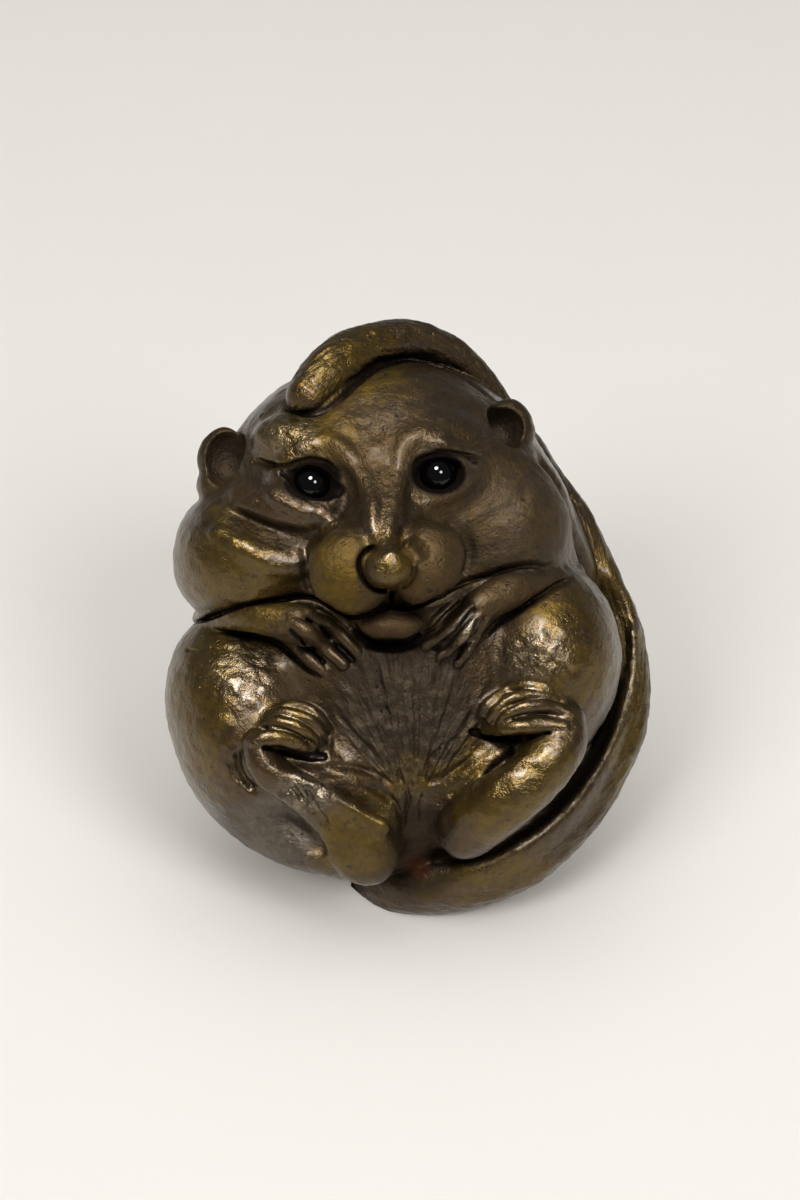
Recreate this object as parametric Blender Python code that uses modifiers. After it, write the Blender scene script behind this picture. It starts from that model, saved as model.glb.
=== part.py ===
"""A dormouse curled up on its back, a palm-sized bronze casting with two glass bead eyes.

The figure is modelled upright and in millimetres: x to the viewer's right, y away from the viewer and
z up, from the middle of the body. It is then leaned back onto its flat underside and scaled to metres.
"""
import math

import bmesh
import bpy
from mathutils import Matrix, Vector
from mathutils.bvhtree import BVHTree

MM = 0.001
LEAN = math.radians(35)  # how far the figure leans back
UNDERSIDE = 22.5  # from the middle of the body straight down to the flat underside
SKIN_STEP = 0.45  # size of the cells that the lobes are fused in
SKIN_TRIANGLES = 9000
EYE_RADIUS = 1.9
EYE_GAP = 0.35  # clearance round a bead in its socket

# Each lobe: centre, radii and tilt in the front view (degrees).
BODY_LOBES = {
    "trunk": ((0, 2.5, -3), (20.3, 18, 24.3), 0),
    "shoulders": ((-0.3, 3.4, 5), (17.5, 15, 16.5), 0),
    "nape": ((-0.5, 3, 12), (14, 12, 14.4), 0),
    "head": ((-2.3, -3, 11.1), (16.6, 15, 14.4), 0),
    "left_jowl": ((-14.3, -5, 6.1), (8.4, 10.5, 7.4), 0),
    "right_jowl": ((9.9, -5, 8.4), (7, 10.5, 8), 0),
    "left_haunch": ((-14.3, -4, -11.1), (8.5, 11.5, 13.5), -27),
    "left_hip": ((-10.5, -3.5, -20), (6.5, 8, 6), 0),
    "right_haunch": ((13.3, -6, -4.1), (7.6, 9.7, 9.6), 0),
    "left_toe_bed": ((-11, -14.2, -10.3), (3.4, 2.2, 2.2), 0),
    "right_toe_bed": ((11, -13.7, -9.2), (4.4, 2.6, 2.2), 0),
    "muzzle": ((-2.1, -13.5, 6.1), (6.6, 8.2, 5.6), 0),
}
FACE_LOBES = {
    "left_brow": ((-10.4, -12.4, 16.7), (4.6, 3, 2.4), 8),
    "right_brow": ((2.9, -13, 17), (4.6, 3, 2.4), 4),
    "left_pad": ((-5.2, -19.4, 4.3), (4.1, 3.9, 4.3), 12),
    "right_pad": ((1.8, -19.4, 4.9), (3.7, 3.8, 4.1), 0),
    "nose": ((-1.8, -23, 4.5), (2.5, 2, 2.1), 0),
    "chin": ((-1, -18.6, -0.6), (3.4, 2.2, 1.5), 0),
    "left_ear": ((-18.2, -6.5, 15.9), (2.4, 1.6, 3.3), 6),
    "right_ear": ((10.4, -7.5, 18.3), (2.5, 1.8, 3.1), -24),
}
HOLLOWS = {
    "left_ear_cup": ((-18, -8.2, 15.7), (1.6, 1.9, 2.4), 6),
    "right_ear_cup": ((9.9, -9.3, 18.1), (1.6, 2.6, 2.3), -20),
}
EYES = {"left_eye": (-9, -14.7, 12.4), "right_eye": (2.9, -15.3, 13.3)}

# Each limb: the points of its centre line, with the radius at each.
SHIN = (((16, -6, -8.5), 5.5), ((12, -8, -16), 5.5), ((6.2, -6.5, -21.6), 4.8))
BRIDGE = (((-2.8, -12.6, 16.8), 3.2), ((-2.6, -15.8, 12.8), 2.3), ((-2.3, -19.3, 9), 1.7), ((-2, -21.6, 6), 1.4))
LEFT_ARM = (((-21.5, -3, -1.5), 0.8), ((-17.6, -9, -0.6), 1.3), ((-13.8, -13, 0), 1.7), ((-10.3, -15, -0.6), 1.8))
RIGHT_ARM = (((16.4, -6, 4.2), 0.8), ((13.2, -11, 3.4), 1.3), ((9.7, -14, 2.3), 1.8), ((6.8, -15.5, 0.9), 1.8))
LEFT_FOOT = (
    ((-4.4, -12, -22.6), 3.4), ((-7.2, -14.3, -20), 2.9), ((-10.5, -15.6, -16.8), 2.3),
    ((-13.4, -15.8, -14), 1.7), ((-14.2, -15.8, -12), 1.3),
)
RIGHT_FOOT = (
    ((5.6, -12, -21.1), 3), ((9, -14.6, -17.6), 3.1), ((12.5, -15, -14.4), 2.9),
    ((14.7, -14.4, -11.9), 2.4), ((15, -14, -9.7), 2),
)
TAIL = (
    ((-3.5, 2, -27.6), 2.4), ((0, -1.5, -26.9), 2.8), ((4, -3.2, -26.2), 3), ((8.1, -4, -25.4), 2.8),
    ((11.6, -4, -23.9), 2.7), ((14.8, -3.3, -21.4), 2.6), ((17.7, -2, -18.4), 2.5), ((20.2, -0.8, -14.4), 2.3),
    ((22.5, 0.7, -7.1), 1.9), ((21.9, 1.4, -2), 1.9), ((18.7, 1.8, 5.6), 1.9), ((14.7, 1.6, 13.1), 1.9),
    ((12.3, 0.6, 17), 1.8), ((10, -0.8, 20.9), 1.6), ((7.6, -2.3, 24.1), 1.5), ((4.2, -4, 26.3), 1.7),
    ((-0.2, -6, 27), 2), ((-4.4, -8.2, 26.2), 2.3), ((-7.3, -10.4, 24), 2.6), ((-9.5, -12.2, 21), 2.2),
)

# Digits: how many, the first one's points and radii, then the step to the next digit at its two ends.
LEFT_FINGERS = (
    3, ((-12.5, -15, -0.2), (-10.1, -16, -3.2), (-8.4, -14.8, -5.1)), (0.9, 0.85, 0.65),
    (1.6, 0, 0.6), (1.9, 0, 0.8),
)
RIGHT_FINGERS = (
    3, ((5.9, -15.4, 1.8), (3.8, -16.4, 0), (1.8, -15.4, -2.5)), (0.9, 0.8, 0.6),
    (1, 0.1, -0.7), (1.7, 0.1, -0.8),
)
LEFT_TOES = (
    4, ((-14, -16.2, -11.4), (-12, -17, -11), (-10.3, -16.6, -11.7), (-9.2, -15.4, -12.3)), (0.85, 0.8, 0.75, 0.6),
    (0.6, 0.5, 1), (0.7, 0.4, 0.6),
)
RIGHT_TOES = (
    4, ((15, -15.6, -10.6), (11.6, -16.6, -10.4), (9.3, -16.2, -10.8), (7.6, -14.8, -10.9)), (0.9, 0.8, 0.75, 0.6),
    (-0.1, 0.4, 1.1), (-0.2, 0.4, 0.6),
)

# Each crease: the width of the cut and the points of its line in the front view, laid on the skin.
CREASES = {
    "left_jaw_line": (0.8, ((-21.3, -1), (-17.9, 0.4), (-14.2, 1.2), (-10.2, 1.6))),
    "left_arm_under": (0.8, ((-20, -1.5), (-16, -1.9), (-13.2, -2.6), (-11, -4))),
    "right_jaw_line": (0.8, ((14.7, 5.1), (12.1, 4.7), (9.3, 4.4), (6.7, 3.4))),
    "right_arm_under": (0.8, ((16.5, 3.9), (14.1, 2.5), (11.2, 0.9), (8.7, -0.6))),
    "left_lid": (0.5, ((-15.5, 16), (-12.8, 14.9), (-10.4, 14.4))),
    "mouth": (0.5, ((-4.6, 0), (-1.6, 1), (1.4, 0.9))),
}


def collection(name):
    made = bpy.data.collections.new(name)
    bpy.context.scene.collection.children.link(made)
    return made


def place(name, mesh, home):
    thing = bpy.data.objects.new(name, mesh)
    home.objects.link(thing)
    return thing


def lobe_matrix(centre, radii, tilt):
    turn = Matrix.Rotation(math.radians(tilt), 4, "Y")
    return Matrix.Translation(centre) @ turn @ Matrix.Diagonal((*radii, 1))


def lobes(name, table, home):
    """One mesh of stretched spheres."""
    shape = bmesh.new()
    for centre, radii, tilt in table.values():
        matrix = lobe_matrix(centre, radii, tilt)
        bmesh.ops.create_uvsphere(shape, u_segments=48, v_segments=24, radius=1, matrix=matrix)
    mesh = bpy.data.meshes.new(name)
    shape.to_mesh(mesh)
    shape.free()
    return place(name, mesh, home)


def limb(name, stations, home):
    """A tapered tube along a smooth line, with a ball at each end, as one mesh."""
    curve = bpy.data.curves.new(name, "CURVE")
    curve.dimensions = "3D"
    curve.bevel_depth = 1
    curve.bevel_resolution = 4
    curve.resolution_u = 6
    curve.use_fill_caps = True
    line = curve.splines.new("BEZIER")
    line.bezier_points.add(len(stations) - 1)
    for point, (spot, radius) in zip(line.bezier_points, stations):
        point.co = spot
        point.radius = radius
        point.handle_left_type = point.handle_right_type = "AUTO"
    tube = place(name + "_line", curve, home)
    bpy.context.view_layer.update()
    graph = bpy.context.evaluated_depsgraph_get()
    mesh = bpy.data.meshes.new_from_object(tube.evaluated_get(graph))
    bpy.data.objects.remove(tube)
    shape = bmesh.new()
    shape.from_mesh(mesh)
    bmesh.ops.remove_doubles(shape, verts=shape.verts, dist=0.0001)
    for spot, radius in (stations[0], stations[-1]):
        ball = lobe_matrix(spot, (radius, radius, radius), 0)
        bmesh.ops.create_uvsphere(shape, u_segments=16, v_segments=10, radius=1, matrix=ball)
    bmesh.ops.recalc_face_normals(shape, faces=shape.faces)
    shape.to_mesh(mesh)
    shape.free()
    return place(name, mesh, home)


def digits(name, plan, home):
    """Fingers or toes side by side: the first one's line, moved on by a step that changes along it."""
    count, line, radii, root_step, tip_step = plan
    made = []
    for number in range(count):
        stations = []
        for index, spot in enumerate(line):
            along = index / (len(line) - 1)
            step = Vector(root_step).lerp(Vector(tip_step), along)
            stations.append((Vector(spot) + number * step, radii[index]))
        made.append(limb(f"{name}_{number}", stations, home))
    return made


def join(name, things, home):
    shape = bmesh.new()
    for thing in things:
        shape.from_mesh(thing.data)
        bpy.data.objects.remove(thing)
    mesh = bpy.data.meshes.new(name)
    shape.to_mesh(mesh)
    shape.free()
    return place(name, mesh, home)


def bake(thing):
    """Applies the thing's modifiers."""
    bpy.context.view_layer.update()
    graph = bpy.context.evaluated_depsgraph_get()
    mesh = bpy.data.meshes.new_from_object(thing.evaluated_get(graph))
    thing.modifiers.clear()
    thing.data = mesh


def fuse(thing, step, smoothing):
    """Makes overlapping lobes one skin and softens the creases between them."""
    skin = thing.modifiers.new("Fuse", "REMESH")
    skin.mode = "VOXEL"
    skin.voxel_size = step
    if smoothing:
        soften = thing.modifiers.new("Soften", "SMOOTH")
        soften.factor = 0.5
        soften.iterations = smoothing
    bake(thing)


def on_skin(tree, x, z, lift=0.0):
    """The point of the skin that faces the viewer at this place in the front view."""
    hit = tree.ray_cast(Vector((x, -60, z)), Vector((0, 1, 0)))[0]
    return Vector((x, hit.y - lift, z))


def cut(thing, cutter):
    """Takes the cutter out of the thing."""
    carve = thing.modifiers.new("Carve", "BOOLEAN")
    carve.operation = "DIFFERENCE"
    carve.solver = "EXACT"
    carve.object = cutter
    bake(thing)
    bpy.data.objects.remove(cutter)


def carve_creases(thing, home):
    tree = BVHTree.FromObject(thing, bpy.context.evaluated_depsgraph_get())
    tubes = []
    for name, (width, line) in CREASES.items():
        spots = [on_skin(tree, x, z) for x, z in line]
        radii = [width * (0.5 if index in (0, len(line) - 1) else 0.75) for index in range(len(line))]
        tubes.append(limb(name, list(zip(spots, radii)), home))
    tubes.append(lobes("ear_cups", HOLLOWS, home))
    size = EYE_RADIUS + EYE_GAP + 0.2
    sockets = {name: (centre, (size, size, size), 0) for name, centre in EYES.items()}
    tubes.append(lobes("sockets", sockets, home))
    cutter = join("cutter", tubes, home)
    fuse(cutter, SKIN_STEP / 2, 0)
    cut(thing, cutter)


def thin_out(thing, triangles):
    """Collapses the skin to this many triangles, most of them where it bends."""
    made = thing.modifiers.new("Triangles", "TRIANGULATE")
    made.min_vertices = 4
    bake(thing)
    fewer = thing.modifiers.new("Fewer", "DECIMATE")
    fewer.ratio = triangles / len(thing.data.polygons)
    bake(thing)


def lean_matrix():
    """Leans the figure back and puts its underside at height 0."""
    return Matrix.Translation((0, 0, UNDERSIDE)) @ Matrix.Rotation(-LEAN, 4, "X")


def flatten_underside(mesh):
    """Cuts the leaned casting off level at height 0 and closes it with a flat face."""
    shape = bmesh.new()
    shape.from_mesh(mesh)
    everything = shape.verts[:] + shape.edges[:] + shape.faces[:]
    bmesh.ops.bisect_plane(
        shape, geom=everything, dist=0.0001, plane_co=(0, 0, 0), plane_no=(0, 0, -1), clear_outer=True
    )
    rim = [edge for edge in shape.edges if edge.is_boundary]
    bmesh.ops.holes_fill(shape, edges=rim, sides=0)
    bmesh.ops.triangulate(shape, faces=[face for face in shape.faces if len(face.verts) > 3])
    shape.to_mesh(mesh)
    shape.free()


def casting(home):
    pieces = [lobes("body", BODY_LOBES, home), lobes("face", FACE_LOBES, home)]
    limbs = {
        "shin": SHIN, "bridge": BRIDGE, "left_arm": LEFT_ARM, "right_arm": RIGHT_ARM,
        "left_foot": LEFT_FOOT, "right_foot": RIGHT_FOOT, "tail": TAIL,
    }
    pieces += [limb(name, stations, home) for name, stations in limbs.items()]
    hands_and_feet = {
        "left_finger": LEFT_FINGERS, "right_finger": RIGHT_FINGERS,
        "left_toe": LEFT_TOES, "right_toe": RIGHT_TOES,
    }
    for name, plan in hands_and_feet.items():
        pieces += digits(name, plan, home)
    thing = join("dormouse", pieces, home)
    fuse(thing, SKIN_STEP, 3)
    carve_creases(thing, home)
    fuse(thing, SKIN_STEP, 2)
    thin_out(thing, SKIN_TRIANGLES)
    thing.data.transform(lean_matrix())
    flatten_underside(thing.data)
    return thing


def bead(name, centre, home):
    shape = bmesh.new()
    matrix = lean_matrix() @ Matrix.Translation(centre)
    bmesh.ops.create_uvsphere(shape, u_segments=16, v_segments=10, radius=EYE_RADIUS, matrix=matrix)
    bmesh.ops.triangulate(shape, faces=shape.faces)
    mesh = bpy.data.meshes.new(name)
    shape.to_mesh(mesh)
    shape.free()
    return place(name, mesh, home)


def finish(name, colour, roughness, metallic):
    material = bpy.data.materials.new(name)
    material.use_nodes = True
    shader = material.node_tree.nodes["Principled BSDF"]
    shader.inputs["Base Color"].default_value = (*colour, 1)
    shader.inputs["Roughness"].default_value = roughness
    shader.inputs["Metallic"].default_value = metallic
    return material


def centre_on_origin(things):
    """Moves everything so that the whole box stands on the origin, and scales it to metres."""
    corners = [vertex.co for thing in things for vertex in thing.data.vertices]
    low = Vector([min(corner[axis] for corner in corners) for axis in range(3)])
    high = Vector([max(corner[axis] for corner in corners) for axis in range(3)])
    shift = Matrix.Translation((-(low.x + high.x) / 2, -(low.y + high.y) / 2, 0))
    for thing in things:
        thing.data.transform(Matrix.Diagonal((MM, MM, MM, 1)) @ shift)


def main():
    for thing in list(bpy.data.objects):
        bpy.data.objects.remove(thing)
    home = collection("Dormouse sculpture")
    bronze = finish("Patinated bronze", (0.08, 0.05, 0.022), 0.42, 0.7)
    glass = finish("Black glass", (0.004, 0.004, 0.005), 0.05, 0)
    body = casting(home)
    body.data.materials.append(bronze)
    things = [body]
    for name, centre in EYES.items():
        eye = bead(name, centre, home)
        eye.data.materials.append(glass)
        things.append(eye)
    centre_on_origin(things)
    for thing in things:
        print(thing.name, len(thing.data.polygons), [round(side * 1000, 2) for side in thing.dimensions])


main()
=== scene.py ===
import math

import bpy
import numpy as np
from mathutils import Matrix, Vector


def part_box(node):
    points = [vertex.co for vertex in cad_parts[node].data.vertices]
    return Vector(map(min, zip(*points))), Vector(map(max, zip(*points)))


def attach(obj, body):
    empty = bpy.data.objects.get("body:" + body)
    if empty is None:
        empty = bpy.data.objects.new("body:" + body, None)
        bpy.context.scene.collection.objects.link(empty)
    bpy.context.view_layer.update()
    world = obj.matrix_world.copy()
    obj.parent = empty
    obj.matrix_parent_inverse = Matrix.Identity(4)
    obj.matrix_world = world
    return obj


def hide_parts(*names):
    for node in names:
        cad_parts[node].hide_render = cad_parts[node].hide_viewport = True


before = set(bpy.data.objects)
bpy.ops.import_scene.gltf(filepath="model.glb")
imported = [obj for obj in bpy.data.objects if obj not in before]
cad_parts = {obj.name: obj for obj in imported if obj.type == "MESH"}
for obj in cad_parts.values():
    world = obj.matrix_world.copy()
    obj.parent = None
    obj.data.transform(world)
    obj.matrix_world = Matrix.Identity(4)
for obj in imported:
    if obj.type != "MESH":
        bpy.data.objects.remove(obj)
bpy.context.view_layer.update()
scene = bpy.context.scene
single = np.float32

# The figure is modelled upright in millimetres: x right, y away from the viewer, z up its front.
# It then leans back by lean degrees about x and stands underside millimetres below its middle.
figure = {
    "lean": 35.0,
    "underside": 22.5,
    "step": 0.17,
    "halvings": 3,
    "triangles": 194000,
    "low": (-27.0, -28.0, -33.0),
    "high": (28.0, 24.0, 33.0),
}
# each bead, and how far its seat stands off it
eyes = {
    "left_eye": {"centre": (-9.0, -14.7, 12.4), "radius": 1.9, "seat": 0.06},
    "right_eye": {"centre": (2.9, -15.3, 13.3), "radius": 1.9, "seat": 0.06},
}


# the field that the casting's skin is taken from

def turnMatrix(turn):
    # turns about x, then y, then z, in degrees
    a, b, c = np.radians(turn)
    aboutX = np.array([[1, 0, 0], [0, np.cos(a), -np.sin(a)], [0, np.sin(a), np.cos(a)]])
    aboutY = np.array([[np.cos(b), 0, np.sin(b)], [0, 1, 0], [-np.sin(b), 0, np.cos(b)]])
    aboutZ = np.array([[np.cos(c), -np.sin(c), 0], [np.sin(c), np.cos(c), 0], [0, 0, 1]])
    return aboutZ @ aboutY @ aboutX


def spline(stations, perSpan=5):
    # Catmull-Rom: half of 2b + (c-a)t + (2a-5b+4c-d)t2 + (3b-a-3c+d)t3 on each span b to c
    p = np.array(stations, float)
    ends = np.vstack([2 * p[0] - p[1], p, 2 * p[-1] - p[-2]])
    a, b, c, d = (ends[i:len(ends) - 3 + i, None] for i in range(4))
    t = np.linspace(0, 1, perSpan, endpoint=False)[None, :, None]
    cubic = 2 * b + (c - a) * t + (2 * a - 5 * b + 4 * c - d) * t**2 + (3 * b - a - 3 * c + d) * t**3
    return np.vstack([0.5 * cubic.reshape(-1, p.shape[1]), p[-1:]])


def lobe(centre, radii, blend=2.0, turn=(0, 0, 0), cut=False):
    # an ellipsoid that joins what is there within blend mm, or is cut from it
    centre = np.array(centre, single)
    reach = max(radii)
    return {"kind": "lobe", "centre": centre, "radii": np.array(radii, single), "cut": cut,
            "turn": turnMatrix(turn).astype(single), "blend": blend,
            "margin": max(blend, 0.6) + 2.5, "low": centre - reach, "high": centre + reach}


def limb(stations, radii, blend=0.4, cut=False):
    # round sections along a spline, with a radius at each station
    curve = spline(np.column_stack([stations, radii])).astype(single)
    start, end = curve[:-1], curve[1:]
    wide = np.maximum(start[:, 3:], end[:, 3:])
    lows = np.minimum(start, end)[:, :3] - wide
    highs = np.maximum(start, end)[:, :3] + wide
    return {"kind": "limb", "axes": 3, "start": start, "along": end - start, "lows": lows, "highs": highs,
            "blend": blend, "cut": cut, "margin": max(blend, 0.6) + 2.5, "low": lows.min(0),
            "high": highs.max(0)}


def groove(line, width, depth, ends=(0.4, 0.4)):
    # a line of (x, z) cut into the front, where y < 0, to a depth, or raised where depth is below zero;
    # width is one number or (left, right) of the way it runs, and ends is how much of it is left there
    width = (width, width) if np.isscalar(width) else width
    curve = spline(line).astype(single)
    start, end = curve[:-1], curve[1:]
    lows, highs = np.minimum(start, end), np.maximum(start, end)
    low, high = lows.min(0) - max(width), highs.max(0) + max(width)
    return {"kind": "groove", "axes": 2, "start": start, "along": end - start, "lows": lows, "highs": highs,
            "width": width, "depth": depth, "ends": ends, "margin": 0.0,
            "low": np.array([low[0], -60, low[1]], single), "high": np.array([high[0], 0, high[1]], single)}


def lobeField(points, form):
    # k(k-1)/|k/r|, about the distance to an ellipsoid
    q = (points - form["centre"]) @ form["turn"]
    near = np.sqrt(((q / form["radii"]) ** 2).sum(1))
    slope = np.sqrt(((q / form["radii"] ** 2) ** 2).sum(1)) + single(1e-6)
    return near * (near - 1) / slope


def nearSegments(form, low, high, margin):
    # the segments whose box is within the margin of the block
    near = ((form["lows"] - margin < high) & (form["highs"] + margin > low)).all(1)
    start = form["start"][near]
    along = form["along"][near]
    return near, start, along, np.maximum((along[:, :form["axes"]] ** 2).sum(1), 1e-9)


def limbField(points, form, low, high, margin):
    # least of distance to a segment less the radius there
    near, start, along, square = nearSegments(form, low, high, margin)
    if not near.any():
        return np.full(len(points), 40, single)
    away = points[:, None] - start[None, :, :3]
    t = np.clip(np.einsum("nmk,mk->nm", away, along[:, :3]) / square, 0, 1)
    away -= t[..., None] * along[:, :3]
    return (np.sqrt(np.einsum("nmk,nmk->nm", away, away)) - start[:, 3] - t * along[:, 3]).min(1)


def grooveAmount(points, form, low, high):
    # smoothstep from 1 on the line to 0 at its width on that side, times how much of it is left there
    left, right = form["width"]
    near, start, along, square = nearSegments(form, low[[0, 2]], high[[0, 2]], max(left, right))
    if not near.any():
        return single(0)
    away = points[:, None, ::2] - start
    t = np.clip(np.einsum("nmk,mk->nm", away, along) / square, 0, 1)
    toLeft = along[:, 0] * away[..., 1] > along[:, 1] * away[..., 0]
    away -= t[..., None] * along
    apart = np.einsum("nmk,nmk->nm", away, away)
    nearest = apart.argmin(1)
    rows = np.arange(len(points))
    reach = np.where(toLeft[rows, nearest], single(left), single(right))
    s = np.clip(1 - np.sqrt(apart[rows, nearest]) / reach, 0, 1)
    s = s * s * (3 - 2 * s)
    where = (np.flatnonzero(near)[nearest] + t[rows, nearest]) / len(near)
    first, last = form["ends"]
    fade = np.clip(np.minimum(where / 0.2 + first, (1 - where) / 0.2 + last), 0, 1)
    return (s * fade * np.clip(-points[:, 1], 0, 1)).astype(single)


def softMin(a, b, blend):
    # the lesser, less (blend-|a-b|)^2 / 4 blend where they're within blend
    if blend <= 0:
        return np.minimum(a, b)
    over = np.clip(blend - np.abs(a - b), 0, None)
    return np.minimum(a, b) - over * over / single(4 * blend)


def fieldInBlock(points, forms, boxes):
    # forms joined, cut and carved in their order, for the points of one block
    f = np.full(len(points), 50, single)
    low, high = points.min(0), points.max(0)
    for i in np.flatnonzero(((boxes[0] < high) & (boxes[1] > low)).all(1)):
        form = forms[i]
        if form["kind"] == "groove":
            f += single(form["depth"]) * grooveAmount(points, form, low, high)
            continue
        if form["kind"] == "lobe":
            d = lobeField(points, form)
        else:
            d = limbField(points, form, low, high, form["margin"])
        f = -softMin(-f, d, form["blend"]) if form["cut"] else softMin(f, d, form["blend"])
    return f


def fieldAt(points, forms, block=3.0):
    # distance in mm, below zero inside, worked out block by block
    points = points.astype(single)
    cells = np.floor(points / block).astype(np.int64) + 64
    keys = (cells[:, 0] * 256 + cells[:, 1]) * 256 + cells[:, 2]
    order = np.argsort(keys, kind="stable")
    cuts = np.flatnonzero(np.diff(keys[order])) + 1
    margins = np.array([form["margin"] for form in forms], single)[:, None]
    boxes = (np.array([form["low"] for form in forms]) - margins,
             np.array([form["high"] for form in forms]) + margins)
    values = np.empty(len(points), single)
    for inside in np.split(order, cuts):
        values[inside] = fieldInBlock(points[inside], forms, boxes)
    return values


def gradientAt(points, forms, span=0.04):
    # (gradient, value) from the field at the four corners of a small tetrahedron
    corners = np.array([(1, -1, -1), (-1, -1, 1), (-1, 1, -1), (1, 1, 1)], single)
    values = fieldAt((points[None] + corners[:, None] * span).reshape(-1, 3), forms).reshape(4, -1)
    return values.T @ corners / (4 * span), values.mean(0)


def laid(forms, line, lift):
    # stations of (x, z) set on the front of the forms and raised by lift
    line = np.array(line, float)
    lift = np.broadcast_to(lift, len(line))
    depths = np.arange(-30, 6, 0.1)
    grid = np.empty((len(line), len(depths), 3))
    grid[..., 0] = line[:, None, 0]
    grid[..., 1] = depths
    grid[..., 2] = line[:, None, 1]
    inside = fieldAt(grid.reshape(-1, 3), forms).reshape(len(line), -1) < 0
    return np.column_stack([line[:, 0], depths[inside.argmax(1)] - lift, line[:, 1]])


# the figure's forms

masses = [
    lobe((0, 2.5, -3), (20.3, 18, 24.3), 0),
    lobe((-0.3, 3.4, 5), (17.5, 15, 16.5)),
    lobe((-0.5, 3, 12), (14, 12, 14.4)),
    lobe((-2.3, -3, 11.1), (16.6, 15, 14.4)),
    lobe((-14.5, -5, 5.7), (8.5, 10.5, 7.6)),
    lobe((9.5, -5, 8.4), (6.7, 10.5, 8)),
    lobe((-14.3, -4, -11.6), (8.6, 11.5, 12.7), 1.6, (0, -25, 0)),
    lobe((13.3, -6, -4.1), (7.6, 9.7, 9.6), 0.8),
    limb([(-16.5, -5, -14.5), (-11.7, -8, -19.8), (-7, -10, -21.8), (-3.5, -9.6, -22.3)],
         (4.5, 4.0, 3.4, 3.0), 1.6),
    limb([(20.2, 3, 1), (20.5, 3.2, -5), (19.6, 3.2, -11), (17, 3, -16.5)], (1.6, 1.8, 1.8, 1.8), 0.3),
    limb([(-10, -12.4, -13.4), (-6, -12.2, -16.2), (-2.6, -11, -18.8)], (2.2, 2.3, 1.9), 2.0),
    limb([(8.8, -12, -13.6), (6.2, -11.8, -15.8), (3.8, -10.6, -18.2)], (1.7, 1.8, 1.5), 1.0),
    lobe((-11, -14.2, -10.3), (3.4, 2.2, 2.2), 0.6),
    lobe((11, -13.7, -9.2), (4.4, 2.6, 2.2), 0.6),
    limb([(14.5, -6, -8.5), (11, -8, -15), (5.6, -6.5, -20.2)], (4.6, 4.2, 3.4), 1.0),
]
face = [
    lobe((-2.1, -13.5, 6.1), (6.6, 8.2, 5.6)),
    limb([(-2.8, -12.6, 16.8), (-2.6, -15.8, 12.8), (-2.3, -19.3, 9), (-2, -21.6, 6.1)],
         (3.4, 2.6, 2.0, 1.4), 1.0),
    lobe((-10.4, -12.4, 16.7), (4.6, 3.2, 2.4), 1.0, (0, 8, -18)),
    lobe((2.9, -13.2, 17), (4.6, 3.2, 2.4), 1.2, (0, 4, 14)),
    lobe((-9, -14.2, 12.8), (4.3, 3.0, 3.3), 1.0),
    lobe((2.9, -14.7, 13.5), (4.2, 3.1, 3.2), 1.0),
    lobe((-12.4, -12.2, 10.4), (4.9, 3.3, 2.0), 1.2, (0, 18, -28)),
    lobe((-5.2, -19.4, 4.3), (4.15, 3.9, 4.3), 0.35, (0, 12, 0)),
    lobe((1.8, -19.4, 4.9), (3.7, 3.8, 4.1), 0.5),
    lobe((-1.75, -22.9, 4.45), (2.25, 2.0, 1.8), 0.35),
    lobe((-1.4, -17.3, -0.9), (3.1, 1.9, 1.5), 0.5),
    lobe((-18.0, -6.5, 15.4), (2.6, 1.5, 3.0), 0.4, (0, 8, -22)),
    lobe((-17.6, -5.4, 12.6), (3.0, 3.4, 2.2), 0.6),
    lobe((10.1, -7.8, 18.2), (2.3, 1.9, 2.9), 0.4, (0, -16, 4)),
]
cups = [
    lobe((-17.6, -8.6, 15.35), (2.5, 2.6, 2.85), 0.2, (0, 8, -22), cut=True),
    lobe((9.2, -10.2, 18.1), (2.2, 2.9, 2.25), 0.25, (0, -14, 30), cut=True),
]
arms = [
    limb([(-19.9, -3, -0.4), (-17.6, -9, -0.5), (-13.9, -13, -0.2), (-10.4, -14.8, -0.7)],
         (1.2, 1.4, 1.7, 1.8), 0.7),
    lobe((-10, -14.7, -1.2), (2.2, 1.5, 1.5), 0.6, (0, 38, 0)),
    lobe((5.4, -15.3, -0.7), (2.3, 1.4, 1.5), 0.6, (0, -45, 0)),
    limb([(16.4, -6, 4.2), (13.2, -11, 3.3), (9.8, -14, 2.3), (6.9, -15.3, 0.9)],
         (0.8, 1.3, 1.8, 1.7)),
]
feet = [
    limb([(-4.1, -12.9, -22.6), (-7.3, -14.2, -19.9), (-10.9, -15.1, -16.6), (-13.5, -15.7, -13.9),
          (-14.1, -15.8, -12)], (3.3, 2.6, 2.1, 1.7, 1.4)),
    # the sole is cut flat, with a ridge along its upper edge
    limb([(-12.4, -15.4, -14.6), (-9, -16, -16.3), (-7, -15.9, -17.6), (-5, -15.8, -18.8),
          (-2.8, -15.4, -19.9)], (0.9, 1.2, 1.3, 1.3, 1.2), 0.8),
    lobe((-13.1, -49.25, -40.2), (39.9, 39.9, 39.9), 1.5, cut=True),
    limb([(5.6, -12, -20.4), (9, -14.6, -17.4), (12.6, -15, -14.4), (14.6, -14.6, -12),
          (14.9, -14.2, -10)], (2.9, 3.1, 2.9, 2.4, 2.0)),
]
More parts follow.
